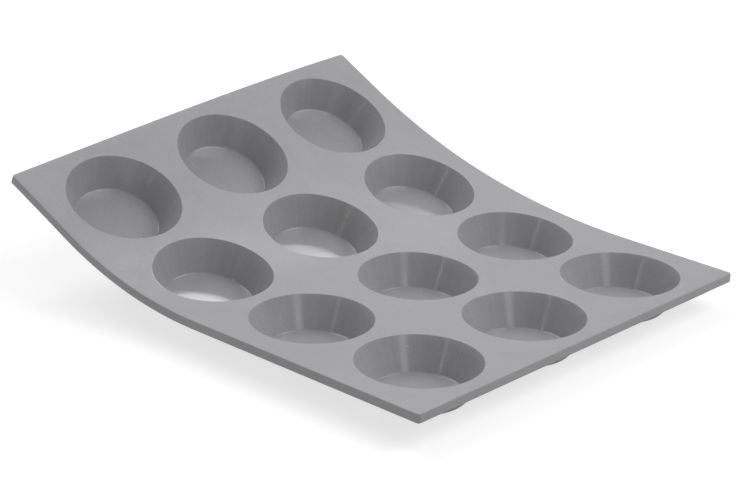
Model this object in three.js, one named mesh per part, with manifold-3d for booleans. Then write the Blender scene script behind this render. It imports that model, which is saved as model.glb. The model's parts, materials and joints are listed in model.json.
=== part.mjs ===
// Silicone mini tartlet mould: a flexible deck with four rows of three conical cups,
// held flexed so that one end is raised.
// Millimetres, +Z up. +X runs along the deck, away from the raised end, and +Y across it.
// The origin is under the middle of the mould, on the surface that it stands on.

import * as THREE from 'three';
import { TessellateModifier } from 'three/addons/modifiers/TessellateModifier.js';
import { mergeVertices } from 'three/addons/utils/BufferGeometryUtils.js';
import Module from 'manifold-3d';

const wasm = await Module();
wasm.setup();

// Cups: the inside sizes are those of the tartlet that is baked in them
const ROWS = 4;
const COLUMNS = 3;
const RIM_DIAMETER = 45;
const FLOOR_DIAMETER = 32.4;
const CUP_DEPTH = 11.9;
const WALL_THICKNESS = 1.5;
const FLOOR_THICKNESS = 1.5;

// Rounding of the cup's edges: at the rim, inside around the floor, and outside around the foot
const RIM_ROUND = 0.3;
const FLOOR_ROUND = 0.8;
const FOOT_ROUND = 4;

// Deck: the flat sheet that joins the cups, from rim to rim and from rim to edge
const DECK_THICKNESS = 3.5;
const ROW_GAP = 6;
const COLUMN_GAP = 11.8;
const END_MARGIN = 6;
const SIDE_MARGIN = 9.7;
const CORNER_ROUND = 1.2;

// Where the moulding flexes: a strip of deck stays with the rims on each side of a flex web,
// and a ring of floor stays with the wall when the rest of the floor is pushed up
const RIM_LAND = 0.8;
const FLOOR_LEDGE = 2.6;
const SEAM = 0.3;

// The flex it is held in: flat as far as BEND_START from the middle, then an arc, then straight.
// BEND_SKEW turns the line of the bend away from the rows, BEND_FLARE is the share by which its
// radius grows from the middle to one side, and SIDE_SAG is how far the sides of the raised end
// hang down.
const BEND_START = 25;
const BEND_RADIUS = 217;
const BEND_ANGLE = THREE.MathUtils.degToRad(28.3);
const BEND_SKEW = THREE.MathUtils.degToRad(-17.8);
const BEND_FLARE = 0.32;
const SIDE_SAG = 1.9;

// Fineness of the faceted surface: across the bend the deck is nearly straight, so its facets
// may be longer that way. ROUND_SHARE is the most of a side that a rounded corner takes up,
// TANGENT_STEP the step between points of the sheet that show which way it faces, and
// WELD_DISTANCE how close two vertices are merged.
const CUP_SEGMENTS = 28;
const ROUND_SEGMENTS = 2;
const ROUND_SHARE = 0.9;
const FACET_LENGTH = 14;
const FACET_STRETCH = 4;
const SPLIT_PASSES = 24;
const TANGENT_STEP = 0.25;
const WELD_DISTANCE = 1e-4;

// Colours and finish of the silicone: satin on the deck, smoother inside the cups
const DECK_COLOUR = 0xa5a5a7;
const CUP_COLOUR = 0x9b9b9e;
const DECK_ROUGHNESS = 0.55;
const CUP_ROUGHNESS = 0.38;

// Sizes that follow from those above
const RIM_RADIUS = RIM_DIAMETER / 2;
const FLOOR_RADIUS = FLOOR_DIAMETER / 2;
const ROW_PITCH = RIM_DIAMETER + ROW_GAP;
const COLUMN_PITCH = RIM_DIAMETER + COLUMN_GAP;
const LENGTH = ROWS * RIM_DIAMETER + (ROWS - 1) * ROW_GAP + 2 * END_MARGIN;
const WIDTH = COLUMNS * RIM_DIAMETER + (COLUMNS - 1) * COLUMN_GAP + 2 * SIDE_MARGIN;
const RAISED_LENGTH = LENGTH / 2 + BEND_START;
const WEB_WIDTH = ROW_GAP - 2 * (RIM_LAND + SEAM);
const WALL_TAPER = Math.atan2(RIM_RADIUS - FLOOR_RADIUS, CUP_DEPTH);
const WALL_ACROSS = WALL_THICKNESS / Math.cos(WALL_TAPER);
const CUP_BOTTOM = -(CUP_DEPTH + FLOOR_THICKNESS);
const CUP_TOP = -(DECK_THICKNESS + SEAM);
const PUSH_RADIUS = FLOOR_RADIUS - FLOOR_LEDGE;

// Centre of a row along the deck, and of a column across it, from the middle of the mould
const rowCentre = (row) => (row - (ROWS + 1) / 2) * ROW_PITCH;
const columnCentre = (column) => (column - (COLUMNS + 1) / 2) * COLUMN_PITCH;

// Inside radius of the conical cup at a height above the deck's top face
const coneRadius = (height) => RIM_RADIUS + height * Math.tan(WALL_TAPER);

// A closed outline through corners given as [x, y, radius], with each corner rounded
function roundedOutline(corners) {
  const path = new THREE.Path();
  const points = corners.map(([x, y]) => new THREE.Vector2(x, y));
  corners.forEach(([, , radius], index) => {
    const corner = points[index];
    const before = points.at(index - 1).clone().sub(corner);
    const after = points[(index + 1) % points.length].clone().sub(corner);
    const room = ROUND_SHARE * Math.min(before.length(), after.length());
    before.normalize();
    after.normalize();
    const halfAngle = Math.acos(THREE.MathUtils.clamp(before.dot(after), -1, 1)) / 2;
    const reach = Math.min(radius / Math.tan(halfAngle), room);
    const start = corner.clone().addScaledVector(before, reach);
    const end = corner.clone().addScaledVector(after, reach);
    if (index === 0) path.moveTo(start.x, start.y);
    else path.lineTo(start.x, start.y);
    if (radius > 0) path.quadraticCurveTo(corner.x, corner.y, end.x, end.y);
  });
  path.closePath();
  return path.getPoints(ROUND_SEGMENTS);
}

// A ring turned about +Z from a closed outline of [radius, height, rounding] corners
function turnedRing(corners) {
  const ring = new THREE.LatheGeometry(roundedOutline(corners), CUP_SEGMENTS);
  return ring.rotateX(Math.PI / 2);
}

// Positions only, with shared vertices merged
function welded(geometry) {
  const bare = new THREE.BufferGeometry();
  bare.setAttribute('position', geometry.getAttribute('position').clone());
  bare.setIndex(geometry.getIndex()?.clone() ?? null);
  return mergeVertices(bare, WELD_DISTANCE);
}

function toSolid(geometry) {
  const mesh = welded(geometry);
  return new wasm.Manifold(new wasm.Mesh({
    numProp: 3,
    vertProperties: new Float32Array(mesh.getAttribute('position').array),
    triVerts: new Uint32Array(mesh.getIndex().array),
  }));
}

function toGeometry(solid) {
  const mesh = solid.getMesh();
  const geometry = new THREE.BufferGeometry();
  geometry.setAttribute('position', new THREE.BufferAttribute(mesh.vertProperties, 3));
  geometry.setIndex(new THREE.BufferAttribute(mesh.triVerts, 1));
  return geometry;
}

// The flexed sheet. u runs along the flat mould and v across it, from its middle, and height is
// above its top face.
const UP = new THREE.Vector3(0, 0, 1);
const ALONG = new THREE.Vector3(Math.cos(BEND_SKEW), Math.sin(BEND_SKEW), 0);
const ACROSS = new THREE.Vector3(-Math.sin(BEND_SKEW), Math.cos(BEND_SKEW), 0);

// Where the flexing carries a point half way through the deck's thickness
function sheetPoint(u, v) {
  const along = u * ALONG.x + v * ALONG.y;
  const across = u * ACROSS.x + v * ACROSS.y;
  const aside = across / (WIDTH / 2);
  const radius = BEND_RADIUS * (1 + BEND_FLARE * aside);
  const pastStart = Math.max(BEND_START - along, 0);
  const onArc = Math.min(pastStart, radius * BEND_ANGLE);
  const slope = onArc / radius;
  const straight = pastStart - onArc;
  const run = radius * Math.sin(slope) + straight * Math.cos(slope);
  const rise = radius * (1 - Math.cos(slope)) + straight * Math.sin(slope);
  const sag = SIDE_SAG * (aside * pastStart / RAISED_LENGTH) ** 2;
  return new THREE.Vector3()
    .addScaledVector(ALONG, along + pastStart - run)
    .addScaledVector(ACROSS, across)
    .addScaledVector(UP, rise - sag - DECK_THICKNESS / 2);
}

// The same point, and how the sheet is turned there
function flexAt(u, v) {
  const middle = sheetPoint(u, v);
  const along = sheetPoint(u + TANGENT_STEP, v).sub(middle).normalize();
  const across = sheetPoint(u, v + TANGENT_STEP).sub(middle).normalize();
  const normal = along.clone().cross(across).normalize();
  const basis = new THREE.Matrix4().makeBasis(along, normal.clone().cross(along), normal);
  const turn = new THREE.Quaternion().setFromRotationMatrix(basis);
  return { middle, turn };
}

function flexedPoint(u, v, height) {
  const { middle, turn } = flexAt(u, v);
  const normal = UP.clone().applyQuaternion(turn);
  return middle.addScaledVector(normal, height + DECK_THICKNESS / 2);
}

// Sets an object where the flexed sheet carries the point u, v of its top face
function seat(object, u, v) {
  object.position.copy(flexedPoint(u, v, 0));
  object.quaternion.copy(flexAt(u, v).turn);
  object.updateMatrixWorld(true);
  return object;
}

// A named piece of the mould, drawn flat around the point u, v and flexed with the sheet
function flexedPiece(name, flat, u, v, colour, roughness) {
  const finish = new THREE.MeshStandardMaterial({ name, color: colour, roughness, metalness: 0 });
  const geometry = welded(flat);
  const piece = seat(new THREE.Mesh(geometry, finish), u, v);
  piece.name = name;
  const toPiece = piece.matrixWorld.clone().invert();
  const position = geometry.getAttribute('position');
  for (let i = 0; i < position.count; i += 1) {
    const flexed = flexedPoint(u + position.getX(i), v + position.getY(i), position.getZ(i));
    flexed.applyMatrix4(toPiece);
    position.setXYZ(i, flexed.x, flexed.y, flexed.z);
  }
  geometry.computeVertexNormals();
  return piece;
}

// The space inside a cup where it passes through the deck, with the rounded rim, as a cutter
function rimCutter() {
  const above = RIM_ROUND;
  const below = -DECK_THICKNESS - RIM_ROUND;
  const flare = RIM_RADIUS + RIM_ROUND * 2;
  const cone = turnedRing([
    [RIM_RADIUS / 2, below, 0],
    [coneRadius(below), below, 0],
    [RIM_RADIUS, 0, RIM_ROUND],
    [flare, 0, 0],
    [flare, above, 0],
    [RIM_RADIUS / 2, above, 0],
  ]);
  const coreHeight = above - below;
  const coreRadius = RIM_RADIUS / 2 + RIM_ROUND;
  const core = new THREE.CylinderGeometry(coreRadius, coreRadius, coreHeight, CUP_SEGMENTS);
  core.rotateX(Math.PI / 2).translate(0, 0, (above + below) / 2);
  return toSolid(cone).add(toSolid(core));
}

// Splits long facets so that they can follow the bend
function splitAlongBend(geometry) {
  const splitter = new TessellateModifier(FACET_LENGTH, SPLIT_PASSES);
  const squeezed = geometry.rotateZ(-BEND_SKEW).scale(1, 1 / FACET_STRETCH, 1 / FACET_STRETCH);
  return splitter.modify(squeezed).scale(1, FACET_STRETCH, FACET_STRETCH).rotateZ(BEND_SKEW);
}

// One row's band of the deck, with a conical opening over each cup of the row
function deckRow(row, cutter) {
  const inner = (ROW_PITCH - WEB_WIDTH) / 2 - SEAM;
  const outer = RIM_RADIUS + END_MARGIN;
  const back = row === 1 ? outer : inner;
  const front = row === ROWS ? outer : inner;
  const backRound = row === 1 ? CORNER_ROUND : 0;
  const frontRound = row === ROWS ? CORNER_ROUND : 0;
  const outline = new THREE.Shape(roundedOutline([
    [-back, -WIDTH / 2, backRound],
    [front, -WIDTH / 2, frontRound],
    [front, WIDTH / 2, frontRound],
    [-back, WIDTH / 2, backRound],
  ]));
  const plate = new THREE.ExtrudeGeometry(outline, { depth: DECK_THICKNESS, bevelEnabled: false });
  plate.translate(0, 0, -DECK_THICKNESS);
  let band = toSolid(plate);
  for (let column = 1; column <= COLUMNS; column += 1) {
    band = band.subtract(cutter.translate([0, columnCentre(column), 0]));
  }
  const name = `deck_row_${row}`;
  const flat = splitAlongBend(toGeometry(band));
  return flexedPiece(name, flat, rowCentre(row), 0, DECK_COLOUR, DECK_ROUGHNESS);
}

// The strip of deck between two rows, where the mould bends
function flexWeb(row) {
  const steps = Math.ceil(WIDTH / FACET_LENGTH);
  const flat = new THREE.BoxGeometry(WEB_WIDTH, WIDTH, DECK_THICKNESS, 1, steps, 1);
  flat.translate(0, 0, -DECK_THICKNESS / 2);
  const name = `flex_web_${row}_${row + 1}`;
  return flexedPiece(name, flat, rowCentre(row) + ROW_PITCH / 2, 0, DECK_COLOUR, DECK_ROUGHNESS);
}

// The tapered wall that hangs under the deck, with the foot ring and the edge of the floor
function cupWall(row, column) {
  const flat = turnedRing([
    [coneRadius(CUP_TOP), CUP_TOP, 0],
    [FLOOR_RADIUS, -CUP_DEPTH, FLOOR_ROUND],
    [PUSH_RADIUS + SEAM, -CUP_DEPTH, 0],
    [PUSH_RADIUS + SEAM, CUP_BOTTOM, 0],
    [coneRadius(CUP_BOTTOM) + WALL_ACROSS, CUP_BOTTOM, FOOT_ROUND],
    [coneRadius(CUP_TOP) + WALL_ACROSS, CUP_TOP, 0],
  ]);
  const name = `cup_wall_r${row}_c${column}`;
  return flexedPiece(name, flat, rowCentre(row), columnCentre(column), CUP_COLOUR, CUP_ROUGHNESS);
}

// The middle of the cup's floor, which a thumb pushes up to free the tartlet
function cupFloor(row, column) {
  const flat = new THREE.CylinderGeometry(PUSH_RADIUS, PUSH_RADIUS, FLOOR_THICKNESS, CUP_SEGMENTS);
  flat.rotateX(Math.PI / 2).translate(0, 0, (CUP_BOTTOM - CUP_DEPTH) / 2);
  const name = `cup_floor_r${row}_c${column}`;
  return flexedPiece(name, flat, rowCentre(row), columnCentre(column), CUP_COLOUR, CUP_ROUGHNESS);
}

const mould = new THREE.Group();
mould.name = 'tartlet_mould';
const cutter = rimCutter();
for (let row = 1; row <= ROWS; row += 1) {
  const band = seat(new THREE.Group(), rowCentre(row), 0);
  band.name = `row_${row}`;
  band.attach(deckRow(row, cutter));
  for (let column = 1; column <= COLUMNS; column += 1) {
    band.attach(cupWall(row, column));
    band.attach(cupFloor(row, column));
  }
  if (row < ROWS) band.attach(flexWeb(row));
  mould.add(band);
}

// Stands the mould on its lowest cups, over the middle of its length and width
const extent = new THREE.Box3().setFromObject(mould, true);
const centre = extent.getCenter(new THREE.Vector3());
mould.position.set(-centre.x, -centre.y, -extent.min.z);
mould.updateMatrixWorld(true);

export default mould;
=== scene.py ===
"""The looks of a silicone tartlet mould that is held flexed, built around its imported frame.

Laid out as an add-on: the sizes, finishes and studio are property groups, each kind of piece has an
operator, and a sidebar panel lists them. Metres, +Z up, in the frame's own axes.
"""

import json
import math
from collections import namedtuple

import bmesh
import bpy
import numpy as np
from bpy.props import FloatProperty, FloatVectorProperty, IntProperty, PointerProperty
from mathutils import Matrix, Vector


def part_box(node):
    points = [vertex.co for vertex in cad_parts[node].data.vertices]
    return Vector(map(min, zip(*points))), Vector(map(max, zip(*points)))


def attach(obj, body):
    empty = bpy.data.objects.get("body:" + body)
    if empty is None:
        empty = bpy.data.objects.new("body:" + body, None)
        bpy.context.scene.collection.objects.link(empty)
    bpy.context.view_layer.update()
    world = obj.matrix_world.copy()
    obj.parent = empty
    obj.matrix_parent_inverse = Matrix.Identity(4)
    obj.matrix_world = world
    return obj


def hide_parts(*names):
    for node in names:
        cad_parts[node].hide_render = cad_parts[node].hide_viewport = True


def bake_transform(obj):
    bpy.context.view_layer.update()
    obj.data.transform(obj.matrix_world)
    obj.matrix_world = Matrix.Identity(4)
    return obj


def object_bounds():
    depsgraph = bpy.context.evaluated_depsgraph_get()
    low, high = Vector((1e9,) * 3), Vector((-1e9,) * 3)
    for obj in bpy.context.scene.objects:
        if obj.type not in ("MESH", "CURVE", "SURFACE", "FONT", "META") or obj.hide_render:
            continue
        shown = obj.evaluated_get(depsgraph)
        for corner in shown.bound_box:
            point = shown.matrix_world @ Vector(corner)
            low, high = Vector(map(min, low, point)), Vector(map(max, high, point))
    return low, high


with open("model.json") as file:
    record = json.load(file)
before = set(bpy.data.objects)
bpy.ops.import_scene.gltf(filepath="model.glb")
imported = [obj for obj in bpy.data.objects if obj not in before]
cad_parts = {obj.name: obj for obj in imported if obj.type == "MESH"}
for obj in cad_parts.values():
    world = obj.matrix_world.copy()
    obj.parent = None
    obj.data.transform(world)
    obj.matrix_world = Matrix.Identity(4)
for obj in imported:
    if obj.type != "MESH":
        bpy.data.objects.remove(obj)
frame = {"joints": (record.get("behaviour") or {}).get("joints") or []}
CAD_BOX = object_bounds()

bl_info = {
    "name": "Silicone tartlet mould",
    "version": (1, 0, 0),
    "blender": (4, 5, 0),
    "location": "View3D > Sidebar > Mould",
    "description": "Builds the moulded silicone surfaces of a flexed tartlet mould, and its studio",
    "category": "Object",
}

MM = 0.001
ROWS = 4
COLUMNS = 3
# Points nearer than this are one point, edges sharper than this stay crisp, and this is as good as zero
WELD = 0.002 * MM
SHARP_ANGLE = math.radians(40)
TINY = 1e-9


def linear(hex_colour):
    """An sRGB hex colour as linear red, green, blue and alpha."""
    values = [int(hex_colour[start:start + 2], 16) / 255 for start in (0, 2, 4)]
    bent = [value / 12.92 if value <= 0.04045 else ((value + 0.055) / 1.055) ** 2.4 for value in values]
    return (*bent, 1.0)


def add_node(tree, kind, inputs=None, **settings):
    """Adds a node with its settings; inputs maps a socket's name or number to a link or a value."""
    node = tree.nodes.new(kind)
    for name, value in settings.items():
        setattr(node, name, value)
    for key, value in (inputs or {}).items():
        socket = node.inputs[key]
        if isinstance(value, bpy.types.NodeSocket):
            tree.links.new(value, socket)
        else:
            socket.default_value = value
    return node


def length_property(name, millimetres, description):
    return FloatProperty(name=name, description=description, default=millimetres * MM,
                         min=0.0, precision=5, subtype="DISTANCE", unit="LENGTH")


def angle_property(name, degrees, description):
    return FloatProperty(name=name, description=description, default=math.radians(degrees),
                         subtype="ANGLE", unit="ROTATION")


def share_property(name, value, description):
    return FloatProperty(name=name, description=description, default=value, min=0.0, max=1.0,
                         subtype="FACTOR")


def colour_property(name, hex_colour, description):
    return FloatVectorProperty(name=name, description=description, default=linear(hex_colour),
                               size=4, min=0.0, max=1.0, subtype="COLOR")


class MouldSizes(bpy.types.PropertyGroup):
    """Sizes of the mould as it lies flat"""
    rim_diameter: length_property("Rim", 45, "Diameter of a cup at the deck's top face")
    floor_diameter: length_property("Floor", 32.4, "Diameter of a cup's flat floor")
    cup_depth: length_property("Depth", 11.9, "From the deck's top face to a cup's floor")
    wall_thickness: length_property("Wall", 1.5, "Thickness of a cup's wall")
    floor_thickness: length_property("Floor thickness", 1.5, "Thickness of a cup's floor")
    rim_round: length_property("Rim rounding", 0.15, "Radius of the edge between deck and cup")
    floor_round: length_property("Floor rounding", 0.8, "Radius inside, between wall and floor")
    foot_round: length_property("Foot rounding", 4, "Radius outside, around the cup's foot")
    deck_thickness: length_property("Deck", 3.5, "Thickness of the deck")
    row_gap: length_property("Row gap", 6, "From rim to rim along the deck")
    column_gap: length_property("Column gap", 11.8, "From rim to rim across the deck")
    end_margin: length_property("End margin", 6, "From the last rim to the end of the deck")
    side_margin: length_property("Side margin", 9.7, "From the last rim to the side of the deck")
    corner_round: length_property("Corner rounding", 1.2, "Radius of the deck's corners")
    edge_round: length_property("Edge rounding", 0.35, "Radius along the deck's outer edges")
    rim_land: length_property("Rim land", 0.8, "Deck that stays with the rims beside a flex web")
    collar: length_property("Collar", 0.4, "Deck around a rim that is part of the cup's own skin")
    around: IntProperty(name="Steps around", description="Facets around a cup", default=144, min=16)
    fineness: length_property("Fineness", 1, "Longest facet down a cup's wall")

    @property
    def rim_radius(self):
        return self.rim_diameter / 2

    @property
    def floor_radius(self):
        return self.floor_diameter / 2

    @property
    def row_pitch(self):
        return self.rim_diameter + self.row_gap

    @property
    def column_pitch(self):
        return self.rim_diameter + self.column_gap

    @property
    def deck_length(self):
        return ROWS * self.rim_diameter + (ROWS - 1) * self.row_gap + 2 * self.end_margin

    @property
    def deck_width(self):
        return COLUMNS * self.rim_diameter + (COLUMNS - 1) * self.column_gap + 2 * self.side_margin

    @property
    def web_width(self):
        return self.row_gap - 2 * self.rim_land

    @property
    def cup_height(self):
        """From a cup's underside to the deck's top face."""
        return self.cup_depth + self.floor_thickness

    @property
    def wall_slope(self):
        return (self.rim_radius - self.floor_radius) / self.cup_depth

    def outer_radius(self, height):
        """Outside radius of a cup at a height above the deck's top face."""
        wall_across = self.wall_thickness * math.hypot(1, self.wall_slope)
        return self.rim_radius + height * self.wall_slope + wall_across

    @property
    def collar_radius(self):
        """Where a cup's skin meets the rest of the deck."""
        return self.rim_radius + self.collar

    def row_centre(self, row):
        return (row - (ROWS + 1) / 2) * self.row_pitch

    def column_centre(self, column):
        return (column - (COLUMNS + 1) / 2) * self.column_pitch


class MouldFlex(bpy.types.PropertyGroup):
    """The bend that the mould is held in"""
    start: length_property("Start", 25, "Where the bend starts, from the mould's middle")
    radius: length_property("Radius", 217, "Radius of the bend at the middle of the deck")
    angle: angle_property("Angle", 28.3, "How far the bend turns the raised end")
    skew: angle_property("Skew", -17.8, "Turn of the bend's line away from the rows")
    flare: share_property("Flare", 0.32, "Share by which the radius grows from the middle to one side")
    sag: length_property("Sag", 1.9, "How far the sides of the raised end hang down")


class SiliconeLook(bpy.types.PropertyGroup):
    """Colours and grain of the moulded silicone"""
    deck_colour: colour_property("Deck", "a4a4a6", "Colour of the satin deck")
    deck_shade: colour_property("Deck shade", "9e9ea0", "Darker clouds in the deck")
    deck_roughness: share_property("Deck roughness", 0.42, "Roughness of the satin deck")
    cup_colour: colour_property("Cup", "a4a4a6", "Colour of the smoother cups")
    cup_shade: colour_property("Cup shade", "9e9ea0", "Darker clouds in the cups")
    wall_roughness: share_property("Wall roughness", 0.16, "Roughness of the cups' walls")
    floor_roughness: share_property("Floor roughness", 0.04, "Roughness of the cups' polished floors")
    speck_colour: colour_property("Specks", "c4c4c4", "Colour of dust on the surface")
    cloud: length_property("Clouds", 26, "Size of the soft clouds in the colour")
    grain: length_property("Grain", 0.7, "Size of the moulded grain")
    speck_gap: length_property("Speck gap", 7, "Distance between specks of dust")
    streak: length_property("Streaks", 2, "Width of the streaks down a cup's wall")
    streak_strength: share_property("Streak strength", 0.06, "How much darker the streaks are")


class StudioLook(bpy.types.PropertyGroup):
    """Camera and backdrop"""
    azimuth: angle_property("Azimuth", 41.95, "Camera's turn around the mould")
    elevation: angle_property("Elevation", 21.484, "Camera's height above the horizon")
    roll: angle_property("Roll", 1.743, "Camera's tilt about its own axis")
    distance: length_property("Distance", 887.3, "From the camera to its target")
    target: FloatVectorProperty(name="Target", description="What it looks at, from the flat mould's middle",
                                default=(-2.47 * MM, 6.74 * MM, 0.7 * MM), size=3, subtype="TRANSLATION")
    lens: FloatProperty(name="Lens", description="Focal length in millimetres on a 36 mm sensor",
                        default=111.65, min=1.0, unit="CAMERA")
    floor_colour: colour_property("Floor", "aaaaaa", "Colour of the studio floor")
    floor_size: length_property("Floor size", 8000, "Side of the studio floor")


class MouldSettings(bpy.types.PropertyGroup):
    """All that can be set on the mould"""
    sizes: PointerProperty(type=MouldSizes, name="Sizes", description="Sizes of the flat mould")
    flex: PointerProperty(type=MouldFlex, name="Flex", description="The bend it is held in")
    look: PointerProperty(type=SiliconeLook, name="Silicone", description="Colours and grain")
    studio: PointerProperty(type=StudioLook, name="Studio", description="Camera and backdrop")


def flat_middle(sizes):
    """Where the middle of the flat mould's top face lies in the frame, from the flat end's band."""
    low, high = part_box(f"deck_row_{ROWS}")
    return Vector((high[0] - sizes.deck_length / 2, (low[1] + high[1]) / 2, high[2]))


def joint_named(name):
    """A joint of the frame."""
    return next(joint for joint in frame["joints"] if joint["name"] == name)


def cup_axis(row, column):
    """The way out of a cup, along which its floor is pushed."""
    return Vector(joint_named(f"push_r{row}_c{column}")["axis"]).normalized()


# Geometry node trees

GEOMETRY = ("Geometry", "NodeSocketGeometry")
MATERIAL = ("Material", "NodeSocketMaterial")
FLAT_POINT = ("Flat point", "NodeSocketVector")
MIDDLE = ("Middle", "NodeSocketVector")
BEND_SOCKETS = [
    ("Deck length", "NodeSocketFloat"),
    ("Deck width", "NodeSocketFloat"),
    ("Deck thickness", "NodeSocketFloat"),
    ("Bend start", "NodeSocketFloat"),
    ("Bend radius", "NodeSocketFloat"),
    ("Bend angle", "NodeSocketFloat"),
    ("Bend skew", "NodeSocketFloat"),
    ("Bend flare", "NodeSocketFloat"),
    ("Side sag", "NodeSocketFloat"),
]


def new_tree(name, inputs, output):
    """A node tree with named inputs and one output, and its two end nodes."""
    tree = bpy.data.node_groups.new(name, "GeometryNodeTree")
    for socket, kind in inputs:
        tree.interface.new_socket(socket, in_out="INPUT", socket_type=kind)
    tree.interface.new_socket(output[0], in_out="OUTPUT", socket_type=output[1])
    return tree, add_node(tree, "NodeGroupInput").outputs, add_node(tree, "NodeGroupOutput")


def flex_values(settings):
    """What the inputs of the bend are set to, by name."""
    sizes, flex = settings.sizes, settings.flex
    return {
        "Deck length": sizes.deck_length,
        "Deck width": sizes.deck_width,
        "Deck thickness": sizes.deck_thickness,
        "Bend start": flex.start,
        "Bend radius": flex.radius,
        "Bend angle": flex.angle,
        "Bend skew": flex.skew,
        "Bend flare": flex.flare,
        "Side sag": flex.sag,
        "Middle": flat_middle(sizes)[:],
    }


# The bend, step by step: the name of what is worked out, the operation and what it works on.
# The sheet is flat, then an arc whose radius grows across it, then straight, and its sides sag.
BEND_STEPS = [
    ("half width", "MULTIPLY", "Deck width", 0.5),
    ("aside", "DIVIDE", "across", "half width"),
    ("growth", "MULTIPLY_ADD", "Bend flare", "aside", 1.0),
    ("radius", "MULTIPLY", "Bend radius", "growth"),
    ("way to go", "SUBTRACT", "Bend start", "along"),
    ("past start", "MAXIMUM", "way to go", 0.0),
    ("arc length", "MULTIPLY", "radius", "Bend angle"),
    ("on arc", "MINIMUM", "past start", "arc length"),
    ("straight", "SUBTRACT", "past start", "on arc"),
    ("slope", "DIVIDE", "on arc", "radius"),
    ("sine", "SINE", "slope"),
    ("cosine", "COSINE", "slope"),
    ("arc run", "MULTIPLY", "radius", "sine"),
    ("run", "MULTIPLY_ADD", "straight", "cosine", "arc run"),
    ("bend line", "ADD", "along", "past start"),
    ("drawn in", "SUBTRACT", "bend line", "run"),
    ("versine", "SUBTRACT", 1.0, "cosine"),
    ("arc rise", "MULTIPLY", "radius", "versine"),
    ("rise", "MULTIPLY_ADD", "straight", "sine", "arc rise"),
    ("raised length", "MULTIPLY_ADD", "Deck length", 0.5, "Bend start"),
    ("raised share", "DIVIDE", "past start", "raised length"),
    ("corner share", "MULTIPLY", "aside", "raised share"),
    ("corner square", "MULTIPLY", "corner share", "corner share"),
    ("sag", "MULTIPLY", "Side sag", "corner square"),
    ("sagged", "SUBTRACT", "rise", "sag"),
    ("height", "MULTIPLY_ADD", "Deck thickness", -0.5, "sagged"),
]
# How far beside a point the sheet is looked up for its slope
TANGENT_STEP = 0.25 * MM


def sheet_group():
    """Where the bend carries a point half way through the flat deck's thickness."""
    tree, given, result = new_tree("Sheet point", [FLAT_POINT, *BEND_SOCKETS], FLAT_POINT)
    turned = add_node(tree, "ShaderNodeVectorRotate",
                      {"Vector": given["Flat point"], "Angle": given["Bend skew"]},
                      rotation_type="Z_AXIS", invert=True).outputs[0]
    flat = add_node(tree, "ShaderNodeSeparateXYZ", {0: turned}).outputs
    known = {name: given[name] for name, _ in BEND_SOCKETS}
    known.update({"along": flat["X"], "across": flat["Y"]})
    for name, operation, *values in BEND_STEPS:
        inputs = {number: known.get(value, value) for number, value in enumerate(values)}
        known[name] = add_node(tree, "ShaderNodeMath", inputs, operation=operation).outputs[0]
    bent = add_node(tree, "ShaderNodeCombineXYZ",
                    {"X": known["drawn in"], "Y": known["across"], "Z": known["height"]}).outputs[0]
    turned_back = add_node(tree, "ShaderNodeVectorRotate", {"Vector": bent, "Angle": given["Bend skew"]},
                           rotation_type="Z_AXIS").outputs[0]
    tree.links.new(turned_back, result.inputs[0])
    return tree


def flex_group():
    """Flexes a flat mesh with the sheet: each point stands off it along its normal as it did when flat."""
    tree, given, result = new_tree("Flexed sheet", [GEOMETRY, *BEND_SOCKETS, MIDDLE], GEOMETRY)
    sheet = sheet_group()
    bend = {name: given[name] for name, _ in BEND_SOCKETS}
    vector_math = "ShaderNodeVectorMath"
    here = add_node(tree, "GeometryNodeInputPosition").outputs[0]
    points = []
    for step in ((0.0, 0.0, 0.0), (TANGENT_STEP, 0.0, 0.0), (0.0, TANGENT_STEP, 0.0)):
        beside = add_node(tree, vector_math, {0: here, 1: step}, operation="ADD").outputs[0]
        carried = add_node(tree, "GeometryNodeGroup", node_tree=sheet)
        points.append(carried.outputs[0])
        for name, source in {"Flat point": beside, **bend}.items():
            tree.links.new(source, carried.inputs[name])
    along = add_node(tree, vector_math, {0: points[1], 1: points[0]}, operation="SUBTRACT").outputs[0]
    across = add_node(tree, vector_math, {0: points[2], 1: points[0]}, operation="SUBTRACT").outputs[0]
    upright = add_node(tree, vector_math, {0: along, 1: across}, operation="CROSS_PRODUCT").outputs[0]
    normal = add_node(tree, vector_math, {0: upright}, operation="NORMALIZE").outputs[0]
    height = add_node(tree, "ShaderNodeSeparateXYZ", {0: here}).outputs["Z"]
    proud = add_node(tree, "ShaderNodeMath", {0: given["Deck thickness"], 1: 0.5, 2: height},
                     operation="MULTIPLY_ADD").outputs[0]
    flexed = add_node(tree, vector_math, {0: normal, 1: proud, 2: points[0]},
                      operation="MULTIPLY_ADD").outputs[0]
    placed = add_node(tree, vector_math, {0: flexed, 1: given["Middle"]}, operation="ADD").outputs[0]
    moved = add_node(tree, "GeometryNodeSetPosition", {"Geometry": given["Geometry"], "Position": placed})
    tree.links.new(moved.outputs[0], result.inputs[0])
    return tree


def finish_tree(tree, given, mesh, result):
    """Flexes the mesh with the sheet, shades it smooth and gives it its material."""
    group = bpy.data.node_groups.get("Flexed sheet") or flex_group()
    flexed = add_node(tree, "GeometryNodeGroup", node_tree=group)
    tree.links.new(mesh, flexed.inputs["Geometry"])
    for name, _ in [*BEND_SOCKETS, MIDDLE]:
        tree.links.new(given[name], flexed.inputs[name])
    smooth = add_node(tree, "GeometryNodeSetShadeSmooth", {"Geometry": flexed.outputs[0]}).outputs[0]
    real = add_node(tree, "GeometryNodeRealizeInstances", {"Geometry": smooth}).outputs[0]
    dressed = add_node(tree, "GeometryNodeSetMaterial", {"Geometry": real, "Material": given["Material"]})
    tree.links.new(dressed.outputs[0], result.inputs[0])


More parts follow.
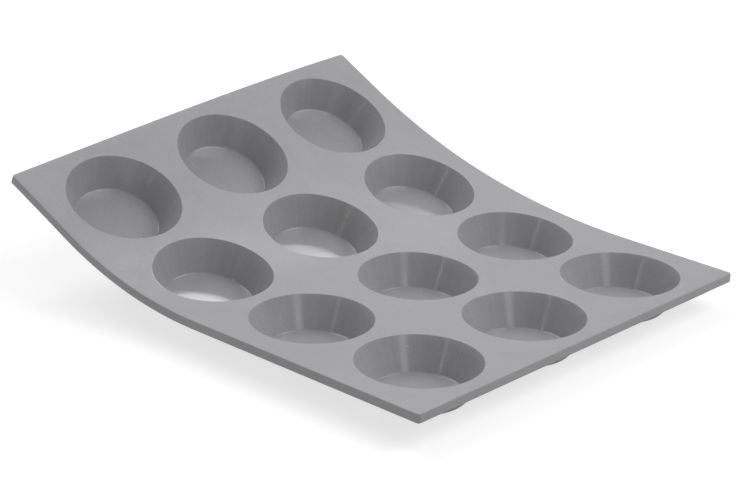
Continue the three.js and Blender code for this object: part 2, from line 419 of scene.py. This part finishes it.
def deck_tree():
    """Flexes a flat piece of the deck that is given as a mesh."""
    ready = bpy.data.node_groups.get("Flexed deck")
    if ready:
        return ready
    tree, given, result = new_tree("Flexed deck", [GEOMETRY, *BEND_SOCKETS, MIDDLE, MATERIAL], GEOMETRY)
    finish_tree(tree, given, given["Geometry"], result)
    return tree


def cup_tree():
    """Spins a cup from its profile, sets it in its row and column, and flexes it with the deck.

    A grid has one row of points for each step around, as long as the profile, and each of its points
    takes its place from the profile by its number. Each point keeps the way that it faces from the
    cup's axis as the attribute spoke, so that streaks can run down the wall, and its length says the
    finish.
    """
    spinning = [("Steps around", "NodeSocketInt"), ("Centre", "NodeSocketVector")]
    sockets = [GEOMETRY, *spinning, *BEND_SOCKETS, MIDDLE, MATERIAL]
    tree, given, result = new_tree("Tartlet cup", sockets, GEOMETRY)
    integer = "FunctionNodeIntegerMath"
    profile = given["Geometry"]
    around = given["Steps around"]
    count = add_node(tree, "GeometryNodeAttributeDomainSize", {0: profile}).outputs["Point Count"]
    closing = add_node(tree, integer, {0: around, 1: 1}, operation="ADD").outputs[0]
    grid = add_node(tree, "GeometryNodeMeshGrid",
                    {"Vertices X": closing, "Vertices Y": count}).outputs["Mesh"]
    number = add_node(tree, "GeometryNodeInputIndex").outputs[0]
    down = add_node(tree, integer, {0: number, 1: count}, operation="MODULO").outputs[0]
    step = add_node(tree, integer, {0: number, 1: count}, operation="DIVIDE_FLOOR").outputs[0]
    share = add_node(tree, "ShaderNodeMath", {0: step, 1: around}, operation="DIVIDE").outputs[0]
    turn = add_node(tree, "ShaderNodeMath", {0: share, 1: math.tau}, operation="MULTIPLY").outputs[0]
    here = add_node(tree, "GeometryNodeInputPosition").outputs[0]
    point = add_node(tree, "GeometryNodeSampleIndex", {"Geometry": profile, "Value": here, "Index": down},
                     data_type="FLOAT_VECTOR").outputs[0]
    finish = add_node(tree, "GeometryNodeInputNamedAttribute", {"Name": "finish"},
                      data_type="FLOAT_VECTOR").outputs[0]
    mark = add_node(tree, "GeometryNodeSampleIndex", {"Geometry": profile, "Value": finish, "Index": down},
                    data_type="FLOAT_VECTOR").outputs[0]
    spun = add_node(tree, "ShaderNodeVectorRotate", {"Vector": point, "Angle": turn},
                    rotation_type="Z_AXIS").outputs[0]
    spoke = add_node(tree, "ShaderNodeVectorRotate", {"Vector": mark, "Angle": turn},
                     rotation_type="Z_AXIS").outputs[0]
    shell = add_node(tree, "GeometryNodeSetPosition", {"Geometry": grid, "Position": spun}).outputs[0]
    marked = add_node(tree, "GeometryNodeStoreNamedAttribute",
                      {"Geometry": shell, "Name": "spoke", "Value": spoke},
                      data_type="FLOAT_VECTOR", domain="POINT").outputs[0]
    welded = add_node(tree, "GeometryNodeMergeByDistance",
                      {"Geometry": marked, "Distance": WELD}).outputs[0]
    set_down = add_node(tree, "GeometryNodeTransform",
                        {"Geometry": welded, "Translation": given["Centre"]}).outputs[0]
    finish_tree(tree, given, set_down, result)
    return tree


def shaped(name, flat_mesh, tree, values):
    """Runs a tree on a flat mesh and keeps the result as a plain mesh object at the origin."""
    piece = bpy.data.objects.new(name, flat_mesh)
    bpy.context.scene.collection.objects.link(piece)
    modifier = piece.modifiers.new("Shape", "NODES")
    modifier.node_group = tree
    for item in tree.interface.items_tree:
        if item.in_out == "INPUT" and item.name in values:
            modifier[item.identifier] = values[item.name]
    graph = bpy.context.evaluated_depsgraph_get()
    mesh = bpy.data.meshes.new_from_object(piece.evaluated_get(graph))
    piece.modifiers.remove(modifier)
    piece.data = mesh
    mesh.name = name
    bpy.data.meshes.remove(flat_mesh)
    close_and_face_outwards(mesh)
    mesh.set_sharp_from_angle(angle=SHARP_ANGLE)
    return piece


def close_and_face_outwards(mesh):
    """Welds a mesh's seams and poles, drops its loose points and turns its faces outwards."""
    shell = bmesh.new()
    shell.from_mesh(mesh)
    bmesh.ops.remove_doubles(shell, verts=shell.verts, dist=WELD)
    loose = [vert for vert in shell.verts if not vert.link_faces]
    bmesh.ops.delete(shell, geom=loose, context="VERTS")
    bmesh.ops.recalc_face_normals(shell, faces=shell.faces)
    shell.to_mesh(mesh)
    shell.free()


# Flat shapes

def edge_rounding(sizes, steps=5):
    """(inset, height) pairs down the upper half of the deck's outer edge, from its top face."""
    turns = [step / steps * math.pi / 2 for step in range(steps + 1)]
    return [(sizes.edge_round * (1 - math.sin(turn)), sizes.edge_round * (math.cos(turn) - 1))
            for turn in turns]


def rounded_corner(before, corner, after, radius, steps):
    """Points of an arc that rounds a corner of an outline."""
    to_before = (before - corner).normalized()
    to_after = (after - corner).normalized()
    half = to_before.angle(to_after) / 2
    centre = corner + (to_before + to_after).normalized() * (radius / math.sin(half))
    first = (corner + to_before * (radius / math.tan(half)) - centre).normalized()
    last = (corner + to_after * (radius / math.tan(half)) - centre).normalized()
    return [centre + first.slerp(last, step / steps) * radius for step in range(steps + 1)]


# The finishes of a cup's skin, as the length of its spokes
POLISHED, TURNED, SATIN = 0.0, 1.0, 2.0


def cup_profile(sizes, rounding_steps=8):
    """A cup's skin from the middle of its floor over the rim to its underside.

    Gives each point's radius and height, and the finish of the skin that ends there.
    """
    foot = -sizes.cup_height
    floor_middle = Vector((0.0, -sizes.cup_depth))
    floor_corner = Vector((sizes.floor_radius, -sizes.cup_depth))
    rim_corner = Vector((sizes.rim_radius, 0.0))
    collar_top = Vector((sizes.collar_radius, 0.0))
    collar_foot = Vector((sizes.collar_radius, -sizes.deck_thickness))
    wall_top = Vector((sizes.outer_radius(-sizes.deck_thickness), -sizes.deck_thickness))
    foot_corner = Vector((sizes.outer_radius(foot), foot))
    under_middle = Vector((0.0, foot))
    floor_edge = rounded_corner(floor_middle, floor_corner, rim_corner, sizes.floor_round, rounding_steps)
    rim_edge = rounded_corner(floor_corner, rim_corner, collar_top, sizes.rim_round, rounding_steps)
    foot_edge = rounded_corner(wall_top, foot_corner, under_middle, sizes.foot_round, rounding_steps)
    corners = [(point, POLISHED) for point in (floor_middle, *floor_edge)]
    corners += [(point, TURNED) for point in rim_edge]
    corners += [(point, SATIN) for point in (collar_top, collar_foot, wall_top, *foot_edge, under_middle)]
    points = corners[:1]
    for (before, _), (after, finish) in zip(corners, corners[1:]):
        steps = math.ceil((after - before).length / sizes.fineness)
        points += [(before.lerp(after, step / steps), finish) for step in range(1, steps + 1)]
    return points


def profile_mesh(sizes):
    """The cup's profile as a line of points, out along +X and up along +Z, with its finish marked."""
    points = cup_profile(sizes)
    mesh = bpy.data.meshes.new("cup_profile")
    edges = [(number, number + 1) for number in range(len(points) - 1)]
    mesh.from_pydata([(point.x, 0.0, point.y) for point, _ in points], edges, [])
    marks = mesh.attributes.new("finish", "FLOAT_VECTOR", "POINT")
    for mark, (_, finish) in zip(marks.data, points):
        mark.vector = (finish, 0.0, 0.0)
    return mesh


def cell_outline(sizes, reach, rounded):
    """Outline of the deck around one cup, a point for each step around, with its outward normal.

    reach gives how far the cell goes from the cup's axis along -X, +X, -Y and +Y, and rounded says
    for each of them whether it is an outer edge of the deck. Other sides have no normal.
    """
    angles = np.arange(sizes.around) / sizes.around * math.tau
    ways = np.column_stack([np.cos(angles), np.sin(angles)])
    limits = np.where(ways > 0, [reach[1], reach[3]], [reach[0], reach[2]])
    points = ways * (limits / np.maximum(np.abs(ways), TINY)).min(axis=1)[:, None]
    normals = np.zeros_like(points)
    for side, (axis, sign) in enumerate([(0, -1), (0, 1), (1, -1), (1, 1)]):
        on_side = np.isclose(points[:, axis] * sign, reach[side], atol=WELD)
        normals[on_side, axis] = sign * rounded[side]
    for along, x_sign in ((0, -1), (1, 1)):
        for across, y_sign in ((2, -1), (3, 1)):
            corner = np.array([x_sign * reach[along], y_sign * reach[across]])
            nearest = int(np.argmin(np.linalg.norm(points - corner, axis=1)))
            points[nearest] = corner
            normals[nearest] = x_sign * rounded[along], y_sign * rounded[across]
            if rounded[along] and rounded[across]:
                round_off(points, normals, nearest, corner, sizes.corner_round)
    return points, normals


def round_off(points, normals, nearest, corner, radius, reach=3):
    """Moves the points around a corner of the deck onto its rounding."""
    signs = np.sign(corner)
    centre = corner - radius * signs
    middle = math.atan2(signs[1], signs[0])
    for step in range(-reach, reach + 1):
        turn = middle + step / reach * math.pi / 4
        number = (nearest + step) % len(points)
        normals[number] = math.cos(turn), math.sin(turn)
        points[number] = centre + radius * normals[number]


def band_mesh(sizes, row, rings=7):
    """One row's band of the flat deck, with a round opening for each cup."""
    web_side = sizes.rim_radius + sizes.rim_land
    end = sizes.rim_radius + sizes.end_margin
    side = sizes.rim_radius + sizes.side_margin
    join = sizes.column_pitch / 2
    upper = edge_rounding(sizes)
    edge = upper + [(inset, -sizes.deck_thickness - height) for inset, height in reversed(upper)]
    angles = np.arange(sizes.around) / sizes.around * math.tau
    hole = sizes.collar_radius * np.column_stack([np.cos(angles), np.sin(angles)])
    vertices = []
    faces = []
    for column in range(1, COLUMNS + 1):
        rounded = [row == 1, row == ROWS, column == 1, column == COLUMNS]
        reach = [end if rounded[0] else web_side, end if rounded[1] else web_side,
                 side if rounded[2] else join, side if rounded[3] else join]
        outline, normals = cell_outline(sizes, reach, rounded)
        flat_part = outline - normals * sizes.edge_round
        spread = [hole + (flat_part - hole) * ring / rings for ring in range(rings)]
        loop = [(points, 0.0) for points in spread]
        loop += [(outline - normals * inset, height) for inset, height in edge]
        loop += [(points, -sizes.deck_thickness) for points in reversed(spread)]
        centre = np.array([sizes.row_centre(row), sizes.column_centre(column)])
        first = len(vertices)
        for points, height in loop:
            vertices += [(x, y, height) for x, y in points + centre]
        joined = np.isclose(np.abs(outline[:, 1]), join, atol=WELD)
        edge_rings = range(rings, rings + len(edge) - 1)
        faces += cell_faces(first, len(loop), joined, edge_rings)
    mesh = bpy.data.meshes.new(f"band_{row}")
    mesh.from_pydata(vertices, [], faces)
    return mesh


def cell_faces(first, ring_count, joined, edge_rings):
    """Faces of a cell's closed loop of rings, left open where the cell joins the next one."""
    around = len(joined)
    faces = []
    for step in range(around):
        after = (step + 1) % around
        for ring in range(ring_count):
            if ring in edge_rings and joined[step] and joined[after]:
                continue
            here = first + ring * around
            below = first + (ring + 1) % ring_count * around
            faces.append((here + step, here + after, below + after, below + step))
    return faces


def web_mesh(sizes, row, steps_along=12, step_across=2 * MM):
    """The flat strip of deck between a row and the next, with the deck's rounded edges at its ends."""
    half = sizes.deck_width / 2
    rounding = [(half - inset, height) for inset, height in edge_rounding(sizes)]
    inner = half - sizes.edge_round
    spans = round(2 * inner / step_across)
    top = [(-across, height) for across, height in reversed(rounding)]
    top += [(across, 0.0) for across in np.linspace(-inner, inner, spans + 1)[1:-1]]
    top += rounding
    under = [(across, -sizes.deck_thickness - height) for across, height in top]
    section = top + under[::-1]
    count = len(section)
    middle = sizes.row_centre(row) + sizes.row_pitch / 2
    stations = np.linspace(middle - sizes.web_width / 2, middle + sizes.web_width / 2, steps_along + 1)
    vertices = [(along, across, height) for along in stations for across, height in section]
    faces = []
    for station in range(steps_along):
        here = station * count
        for point in range(count):
            after = (point + 1) % count
            faces.append((here + point, here + after, here + count + after, here + count + point))
    for end in (0, steps_along * count):
        for point in range(len(top) - 1):
            opposite = count - 1 - point
            faces.append((end + point, end + point + 1, end + opposite - 1, end + opposite))
    mesh = bpy.data.meshes.new(f"web_{row}")
    mesh.from_pydata(vertices, [], faces)
    return mesh


# Finishes

SILICONE_IOR = 1.41
# The middle of a noise's values, which is spread out to its full range
NOISE_RANGE = (0.3, 0.7)
CLOUD_DETAIL = 5.0
CLOUD_ROUGHNESS = 0.72
# How far the deck's roughness follows the clouds
ROUGHNESS_SPREAD = 0.04
GRAIN_DETAIL = 2.0
GRAIN_DEPTH = 0.02 * MM
GRAIN_TONE = 0.04
# A speck's radius as a share of the gap, the share of gaps that have one, and how much it shows
SPECK_SIZE = 0.05
SPECK_SHARE = 0.3
SPECK_STRENGTH = 0.5
# Streaks are as wide as they say at this radius, half way up a wall
STREAK_RADIUS = 20 * MM
STREAK_DETAIL = 3.0
# A colour mix's sockets, by number because other kinds of mix share their names
MIX_FROM, MIX_TO, MIXED = 6, 7, 2


def moulded_silicone(name, colour, shade, look):
    """Pigmented silicone rubber, pressed in a metal mould: an even grey with a soft sheen.

    Clouds of pigment shift the grey a little, pale specks of dust cling to the rubber, and a grain,
    drawn coarser than the real one so that it shows, breaks up the sheen. Returns the material and
    its clouds, from 0 to 1, which the roughness can follow.
    """
    material = bpy.data.materials.new(name)
    material.use_nodes = True
    tree = material.node_tree
    shader = tree.nodes["Principled BSDF"]
    shader.inputs["IOR"].default_value = SILICONE_IOR
    place = add_node(tree, "ShaderNodeTexCoord").outputs["Object"]
    noise = add_node(tree, "ShaderNodeTexNoise",
                     {"Vector": place, "Scale": 1 / look.cloud, "Detail": CLOUD_DETAIL,
                      "Roughness": CLOUD_ROUGHNESS}).outputs[0]
    low, high = NOISE_RANGE
    clouds = add_node(tree, "ShaderNodeMapRange",
                      {"Value": noise, "From Min": low, "From Max": high}).outputs[0]
    pigment = add_node(tree, "ShaderNodeMix", {"Factor": clouds, MIX_FROM: shade, MIX_TO: colour},
                       data_type="RGBA").outputs[MIXED]

    # Dust: one cell in a few has a speck at its middle
    cells = add_node(tree, "ShaderNodeTexVoronoi", {"Vector": place, "Scale": 1 / look.speck_gap}).outputs
    near = add_node(tree, "ShaderNodeMath", {0: cells["Distance"], 1: SPECK_SIZE},
                    operation="LESS_THAN").outputs[0]
    draw = add_node(tree, "ShaderNodeSeparateColor", {0: cells["Color"]}).outputs[0]
    chosen = add_node(tree, "ShaderNodeMath", {0: draw, 1: SPECK_SHARE}, operation="LESS_THAN").outputs[0]
    speck = add_node(tree, "ShaderNodeMath", {0: near, 1: chosen}, operation="MULTIPLY").outputs[0]
    dust = add_node(tree, "ShaderNodeMath", {0: speck, 1: SPECK_STRENGTH}, operation="MULTIPLY").outputs[0]
    dusted = add_node(tree, "ShaderNodeMix", {"Factor": dust, MIX_FROM: pigment, MIX_TO: look.speck_colour},
                      data_type="RGBA").outputs[MIXED]

    # Grain: a faint mottle of light and shade, and the relief that breaks up the sheen
    grain = add_node(tree, "ShaderNodeTexNoise",
                     {"Vector": place, "Scale": 1 / look.grain, "Detail": GRAIN_DETAIL}).outputs[0]
    mottle = add_node(tree, "ShaderNodeMapRange",
                      {"Value": grain, "From Min": low, "From Max": high,
                       "To Min": 1 - GRAIN_TONE, "To Max": 1 + GRAIN_TONE}).outputs[0]
    mottled = add_node(tree, "ShaderNodeVectorMath", {0: dusted, "Scale": mottle},
                       operation="SCALE").outputs[0]
    tree.links.new(mottled, shader.inputs["Base Color"])
    bump = add_node(tree, "ShaderNodeBump", {"Height": grain, "Distance": GRAIN_DEPTH}).outputs[0]
    tree.links.new(bump, shader.inputs["Normal"])
    return material, clouds


def satin_silicone(look):
    """The deck's finish, from a blasted face of the metal mould: a broad sheen that varies a little."""
    ready = bpy.data.materials.get("satin_moulded_silicone")
    if ready:
        return ready
    material, clouds = moulded_silicone("satin_moulded_silicone", look.deck_colour, look.deck_shade, look)
    tree = material.node_tree
    rough = add_node(tree, "ShaderNodeMapRange",
                     {"Value": clouds, "To Min": look.deck_roughness + ROUGHNESS_SPREAD,
                      "To Max": look.deck_roughness - ROUGHNESS_SPREAD}).outputs[0]
    tree.links.new(rough, tree.nodes["Principled BSDF"].inputs["Roughness"])
    return material


def polished_silicone(look):
    """The cups' finish, from turned plugs of the metal mould with polished ends.

    The floors mirror what is bright behind them; the walls are softer, and the plugs' tool marks run
    down them as faint streaks. Outside and below, the cups are satin as the deck is.
    """
    material, _ = moulded_silicone("polished_moulded_silicone", look.cup_colour, look.cup_shade, look)
    tree = material.node_tree
    shader = tree.nodes["Principled BSDF"]
    spoke = add_node(tree, "ShaderNodeAttribute", attribute_name="spoke").outputs["Vector"]
    finish = add_node(tree, "ShaderNodeVectorMath", {0: spoke}, operation="LENGTH").outputs["Value"]
    inside = add_node(tree, "ShaderNodeMapRange",
                      {"Value": finish, "From Min": POLISHED, "From Max": TURNED,
                       "To Min": look.floor_roughness, "To Max": look.wall_roughness}).outputs[0]
    rough = add_node(tree, "ShaderNodeMapRange",
                     {"Value": finish, "From Min": TURNED, "From Max": SATIN,
                      "To Min": inside, "To Max": look.deck_roughness}).outputs[0]
    tree.links.new(rough, shader.inputs["Roughness"])
    marks = add_node(tree, "ShaderNodeTexNoise",
                     {"Vector": spoke, "Scale": STREAK_RADIUS / look.streak,
                      "Detail": STREAK_DETAIL}).outputs[0]
    low, high = NOISE_RANGE
    tone = add_node(tree, "ShaderNodeMapRange",
                    {"Value": marks, "From Min": low, "From Max": high,
                     "To Min": 1 - look.streak_strength, "To Max": 1.0}).outputs[0]
    plain = shader.inputs["Base Color"].links[0].from_socket
    streaked = add_node(tree, "ShaderNodeVectorMath", {0: plain, "Scale": tone},
                        operation="SCALE").outputs[0]
    tree.links.new(streaked, shader.inputs["Base Color"])
    return material


# Pieces

class MOULD_OT_deck_bands(bpy.types.Operator):
    """Makes the deck's band around each row of cups"""
    bl_idname = "mould.deck_bands"
    bl_label = "Deck bands"

    def execute(self, context):
        settings = context.scene.mould
        tree = deck_tree()
        values = {**flex_values(settings), "Material": satin_silicone(settings.look)}
        for row in range(1, ROWS + 1):
            band = shaped(f"deck_band_{row}", band_mesh(settings.sizes, row), tree, values)
            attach(band, f"row_{row}")
            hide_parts(f"deck_row_{row}")
        return {"FINISHED"}


class MOULD_OT_flex_strips(bpy.types.Operator):
    """Makes the strips of deck between the rows, shaped in the bend that the mould is held in"""
    bl_idname = "mould.flex_strips"
    bl_label = "Flex strips"

    def execute(self, context):
        settings = context.scene.mould
        tree = deck_tree()
        values = {**flex_values(settings), "Material": satin_silicone(settings.look)}
        for row in range(1, ROWS):
            strip = shaped(f"flex_strip_{row}_{row + 1}", web_mesh(settings.sizes, row), tree, values)
            start, end = strip_edges(settings.sizes, row)
            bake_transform(strip)
            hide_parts(f"flex_web_{row}_{row + 1}")
        return {"FINISHED"}


def strip_edges(sizes, row):
    """Points on the two long edges of the strip after a row, either side of its joint."""
    joint = joint_named(f"flex_{row}_{row + 1}")
    hinge = Vector(joint["pos_m"])
    hinge_line = Vector(joint["axis"])
    normal = cup_axis(row, 2) + cup_axis(row + 1, 2)
    onwards = hinge_line.cross(normal).normalized()
    if onwards.x < 0:
        onwards.negate()
    return hinge - onwards * sizes.web_width / 2, hinge + onwards * sizes.web_width / 2


class MOULD_OT_cups(bpy.types.Operator):
    """Makes the tartlet cups"""
    bl_idname = "mould.cups"
    bl_label = "Cups"

    def execute(self, context):
        settings = context.scene.mould
        sizes = settings.sizes
        tree = cup_tree()
        values = {
            **flex_values(settings),
            "Steps around": sizes.around,
            "Material": polished_silicone(settings.look),
        }
        for row in range(1, ROWS + 1):
            for column in range(1, COLUMNS + 1):
                values["Centre"] = (sizes.row_centre(row), sizes.column_centre(column), 0.0)
                place = f"r{row}_c{column}"
                cup = shaped(f"cup_{place}", profile_mesh(sizes), tree, values)
                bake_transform(cup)
                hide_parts(f"cup_wall_{place}", f"cup_floor_{place}")
        return {"FINISHED"}


# Studio

# A lamp's azimuth and elevation from the mould in degrees, its distance, width and height in metres, and
# the brightness of its face
Softbox = namedtuple("Softbox", "name azimuth elevation distance width height radiance")

SOFTBOXES = [
    # The main light, from the right, and the second one, from behind on the left
    Softbox("key", 133, 48, 1.4, 1.0, 0.9, 3.5),
    Softbox("rear_left", 264, 50, 1.4, 0.8, 0.8, 3.2),
    # A faint glow low behind, for the sheen of the flat end
    Softbox("back_glow", 222, 20, 1.4, 0.9, 0.35, 0.35),
    # Panels behind that the floors of the second row mirror as bright patches: each is narrower than the
    # one before and adds to it, so that the patches get brighter towards the near side
    Softbox("back_panel_edge", 213, 43.5, 1.4, 0.47, 0.34, 1.5),
    Softbox("back_panel", 217.2, 43.5, 1.4, 0.31, 0.34, 1.9),
    Softbox("back_panel_core", 220.3, 43.5, 1.4, 0.205, 0.34, 2.4),
    # A strip in front with a bright core: the broad pale streak down the cups' far walls
    Softbox("front_strip", 73, 31, 1.5, 0.32, 0.5, 2.2),
    Softbox("front_strip_core", 73, 31, 1.5, 0.16, 0.5, 2.2),
    # The thin streak beside it
    Softbox("thin_strip", -8, 27, 1.5, 0.05, 0.5, 5.0),
    # A long low card that lifts the deck's near edge
    Softbox("side_card", 345, 2, 1.4, 1.1, 0.1, 6.0),
]
# The floor lies this far under the mould, and glows this much; the room is this bright
FLOOR_DROP = 0.2 * MM
FLOOR_GLOW = 0.7
ROOM_LEVEL = 0.29


def direction(azimuth, elevation):
    """The way from the mould to a point seen at an azimuth and elevation, in radians."""
    level = math.cos(elevation)
    return Vector((math.sin(azimuth) * level, -math.cos(azimuth) * level, math.sin(elevation)))


def seen_directly(tree):
    """1 where the camera sees a surface, also in a mirror or through glass."""
    path = add_node(tree, "ShaderNodeLightPath").outputs
    mirrored = add_node(tree, "ShaderNodeMath", {0: path["Is Camera Ray"], 1: path["Is Glossy Ray"]},
                        operation="MAXIMUM").outputs[0]
    return add_node(tree, "ShaderNodeMath", {0: mirrored, 1: path["Is Transmission Ray"]},
                    operation="MAXIMUM").outputs[0]


def studio_floor(studio):
    """A matt sheet of paper: white to the camera, apart from the mould's soft shadow.

    Its own colour is a grey, so that it throws little light up at the mould, and a glow that only the
    camera and reflections see makes up the rest.
    """
    half = studio.floor_size / 2
    height = CAD_BOX[0][2] - FLOOR_DROP
    mesh = bpy.data.meshes.new("studio_floor")
    corners = [(-half, -half, height), (half, -half, height), (half, half, height), (-half, half, height)]
    mesh.from_pydata(corners, [], [(0, 1, 2, 3)])
    material = bpy.data.materials.new("matt_white_paper")
    material.use_nodes = True
    tree = material.node_tree
    tree.nodes.remove(tree.nodes["Principled BSDF"])
    paper = add_node(tree, "ShaderNodeBsdfDiffuse", {"Color": studio.floor_colour}).outputs[0]
    glow = add_node(tree, "ShaderNodeMath", {0: seen_directly(tree), 1: FLOOR_GLOW},
                    operation="MULTIPLY").outputs[0]
    light = add_node(tree, "ShaderNodeEmission", {"Strength": glow}).outputs[0]
    both = add_node(tree, "ShaderNodeAddShader", {0: paper, 1: light}).outputs[0]
    tree.links.new(both, tree.nodes["Material Output"].inputs["Surface"])
    mesh.materials.append(material)
    floor = bpy.data.objects.new("studio_floor", mesh)
    bpy.context.scene.collection.objects.link(floor)
    return floor


def studio_world():
    """The even light of the room around the mould."""
    world = bpy.data.worlds.new("studio")
    world.use_nodes = True
    background = world.node_tree.nodes["Background"]
    background.inputs["Color"].default_value = linear("ffffff")
    background.inputs["Strength"].default_value = ROOM_LEVEL
    return world


def softbox_lamp(box, middle):
    """A rectangular softbox that faces the mould, as bright as a surface of its radiance."""
    lamp = bpy.data.lights.new(box.name, "AREA")
    lamp.shape = "RECTANGLE"
    lamp.size = box.width
    lamp.size_y = box.height
    lamp.energy = box.radiance * math.pi * box.width * box.height
    way = direction(math.radians(box.azimuth), math.radians(box.elevation))
    facing = way.to_track_quat("Z", "Y").to_matrix().to_4x4()
    place = bpy.data.objects.new(box.name, lamp)
    place.matrix_world = Matrix.Translation(middle + way * box.distance) @ facing
    bpy.context.scene.collection.objects.link(place)


def photo_camera(studio, middle):
    """The camera at the photograph's place and angle."""
    lens = bpy.data.cameras.new("photo_camera")
    lens.lens = studio.lens
    lens.clip_end = studio.floor_size
    back = direction(studio.azimuth, studio.elevation)
    level = Vector((math.cos(studio.azimuth), math.sin(studio.azimuth), 0.0))
    upright = back.cross(level)
    right = level * math.cos(studio.roll) + upright * math.sin(studio.roll)
    axes = Matrix((right, back.cross(right), back)).transposed()
    camera = bpy.data.objects.new("photo_camera", lens)
    eye = middle + Vector(studio.target) + back * studio.distance
    camera.matrix_world = Matrix.Translation(eye) @ axes.to_4x4()
    bpy.context.scene.collection.objects.link(camera)
    return camera


class MOULD_OT_studio(bpy.types.Operator):
    """Sets up the white floor, the lamps and the camera"""
    bl_idname = "mould.studio"
    bl_label = "Studio"

    def execute(self, context):
        settings = context.scene.mould
        middle = flat_middle(settings.sizes)
        studio_floor(settings.studio)
        context.scene.world = studio_world()
        for box in SOFTBOXES:
            softbox_lamp(box, middle)
        context.scene.camera = photo_camera(settings.studio, middle)
        context.scene.view_settings.view_transform = "Standard"
        return {"FINISHED"}


class MOULD_PT_sidebar(bpy.types.Panel):
    """Lists the mould's settings and operators"""
    bl_idname = "MOULD_PT_sidebar"
    bl_label = "Silicone tartlet mould"
    bl_space_type = "VIEW_3D"
    bl_region_type = "UI"
    bl_category = "Mould"

    def draw(self, context):
        settings = context.scene.mould
        for group in (settings.sizes, settings.flex, settings.look, settings.studio):
            box = self.layout.box()
            for name in group.bl_rna.properties.keys():
                if name not in ("rna_type", "name"):
                    box.prop(group, name)
        for operator in OPERATORS:
            self.layout.operator(operator.bl_idname)


OPERATORS = (MOULD_OT_deck_bands, MOULD_OT_flex_strips, MOULD_OT_cups, MOULD_OT_studio)
CLASSES = (MouldSizes, MouldFlex, SiliconeLook, StudioLook, MouldSettings, *OPERATORS, MOULD_PT_sidebar)


def register():
    for item in CLASSES:
        bpy.utils.register_class(item)
    bpy.types.Scene.mould = PointerProperty(type=MouldSettings)


def unregister():
    del bpy.types.Scene.mould
    for item in reversed(CLASSES):
        bpy.utils.unregister_class(item)


def main():
    register()
    bpy.ops.mould.deck_bands()
    bpy.ops.mould.flex_strips()
    bpy.ops.mould.cups()
    bpy.ops.mould.studio()


if __name__ == "__main__":
    main()
